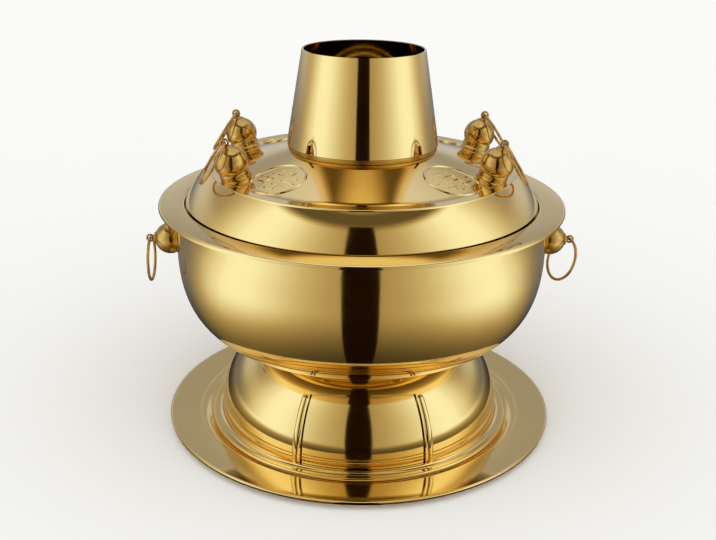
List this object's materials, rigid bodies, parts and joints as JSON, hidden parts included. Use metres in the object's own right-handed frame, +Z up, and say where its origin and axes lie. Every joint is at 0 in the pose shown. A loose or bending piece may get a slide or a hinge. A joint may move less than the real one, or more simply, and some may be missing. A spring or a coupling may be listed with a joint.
{
  "type": "chimney hot pot",
  "caption": "Gold-coloured charcoal hot pot with a ring-shaped bowl around a fire tube, a domed lid with a lift-off chimney, ringed ball knobs, a bell base with an air shutter, and a tray.",
  "frame": {"origin": "centre of the tray's underside, on the table", "axes": "+Z up along the pot's axis, -Y the front with the air window, +X the right side handle as seen from the front"},
  "size_m": [0.3691, 0.34, 0.3233],
  "materials": {
    "polished_gold": "mirror polished gold-coloured metal",
    "dull_gold": "brushed, darker gold-coloured metal",
    "antique_brass": "polished dark antique brass",
    "steel_hardware": "plain bright steel",
    "black_iron": "rough black"
  },
  "bodies": {
    "tray": {"tray": "polished_gold"},
    "pot": {"bowl_lower": "polished_gold", "bowl_bend": "polished_gold", "bowl_upper": "polished_gold", "bowl_brim": "polished_gold", "base_skirt": "polished_gold", "base_foot": "polished_gold", "fire_tube": "dull_gold", "hearth_ring": "black_iron", "shutter_rail_upper": "dull_gold", "shutter_rail_lower": "dull_gold", "right_handle_collar": "antique_brass", "right_handle_ball": "antique_brass", "right_handle_eye": "antique_brass", "left_handle_collar": "antique_brass", "left_handle_ball": "antique_brass", "left_handle_eye": "antique_brass", "handle_nuts": "steel_hardware"},
    "shutter": {"air_shutter": "polished_gold"},
    "grate": {"charcoal_grate": "black_iron"},
    "lid": {"lid_side": "polished_gold", "lid_top": "polished_gold", "lid_neck": "polished_gold", "lid_guide_ring": "dull_gold", "chimney_seat_ring": "dull_gold", "front_right_knob_collar": "antique_brass", "front_right_knob_ball": "antique_brass", "front_right_knob_eye": "antique_brass", "back_right_knob_collar": "antique_brass", "back_right_knob_ball": "antique_brass", "back_right_knob_eye": "antique_brass", "back_left_knob_collar": "antique_brass", "back_left_knob_ball": "antique_brass", "back_left_knob_eye": "antique_brass", "front_left_knob_collar": "antique_brass", "front_left_knob_ball": "antique_brass", "front_left_knob_eye": "antique_brass", "lid_knob_nuts": "steel_hardware"},
    "chimney": {"chimney": "polished_gold"},
    "front_right_lid_ring": {"front_right_ring": "antique_brass"},
    "back_right_lid_ring": {"back_right_ring": "antique_brass"},
    "back_left_lid_ring": {"back_left_ring": "antique_brass"},
    "front_left_lid_ring": {"front_left_ring": "antique_brass"},
    "right_side_ring": {"right_handle_ring": "antique_brass"},
    "left_side_ring": {"left_handle_ring": "antique_brass"}
  },
  "joints": [
    {"name": "pot_lift", "type": "slide", "parent": "tray", "child": "pot", "axis": [0, 0, 1], "range_m": [0, 0.15]},
    {"name": "shutter_turn", "type": "hinge", "parent": "pot", "child": "shutter", "pos_m": [0, 0, 0.03], "axis": [0, 0, 1], "range_deg": [0, 52]},
    {"name": "grate_lift", "type": "slide", "parent": "pot", "child": "grate", "axis": [0, 0, 1], "range_m": [0, 0.26]},
    {"name": "lid_lift", "type": "slide", "parent": "pot", "child": "lid", "axis": [0, 0, 1], "range_m": [0, 0.12]},
    {"name": "chimney_lift", "type": "slide", "parent": "lid", "child": "chimney", "axis": [0, 0, 1], "range_m": [0, 0.1]},
    {"name": "front_right_ring_swing", "type": "hinge", "parent": "lid", "child": "front_right_lid_ring", "pos_m": [0.10916, -0.05324, 0.25814], "axis": [-0.1045, -0.9945, 0], "range_deg": [-8, 250]},
    {"name": "back_right_ring_swing", "type": "hinge", "parent": "lid", "child": "back_right_lid_ring", "pos_m": [0.10916, 0.05324, 0.25814], "axis": [0.1045, -0.9945, 0], "range_deg": [-8, 250]},
    {"name": "back_left_ring_swing", "type": "hinge", "parent": "lid", "child": "back_left_lid_ring", "pos_m": [-0.10916, 0.05324, 0.25814], "axis": [0.1045, 0.9945, 0], "range_deg": [-8, 250]},
    {"name": "front_left_ring_swing", "type": "hinge", "parent": "lid", "child": "front_left_lid_ring", "pos_m": [-0.10916, -0.05324, 0.25814], "axis": [-0.1045, 0.9945, 0], "range_deg": [-8, 250]},
    {"name": "right_side_ring_swing", "type": "hinge", "parent": "pot", "child": "right_side_ring", "pos_m": [0.18077, 0, 0.1615], "axis": [0.342, -0.9397, 0], "range_deg": [-20, 200]},
    {"name": "left_side_ring_swing", "type": "hinge", "parent": "pot", "child": "left_side_ring", "pos_m": [-0.18077, 0, 0.1615], "axis": [0, 1, 0], "range_deg": [-38, 190]}
  ]
}
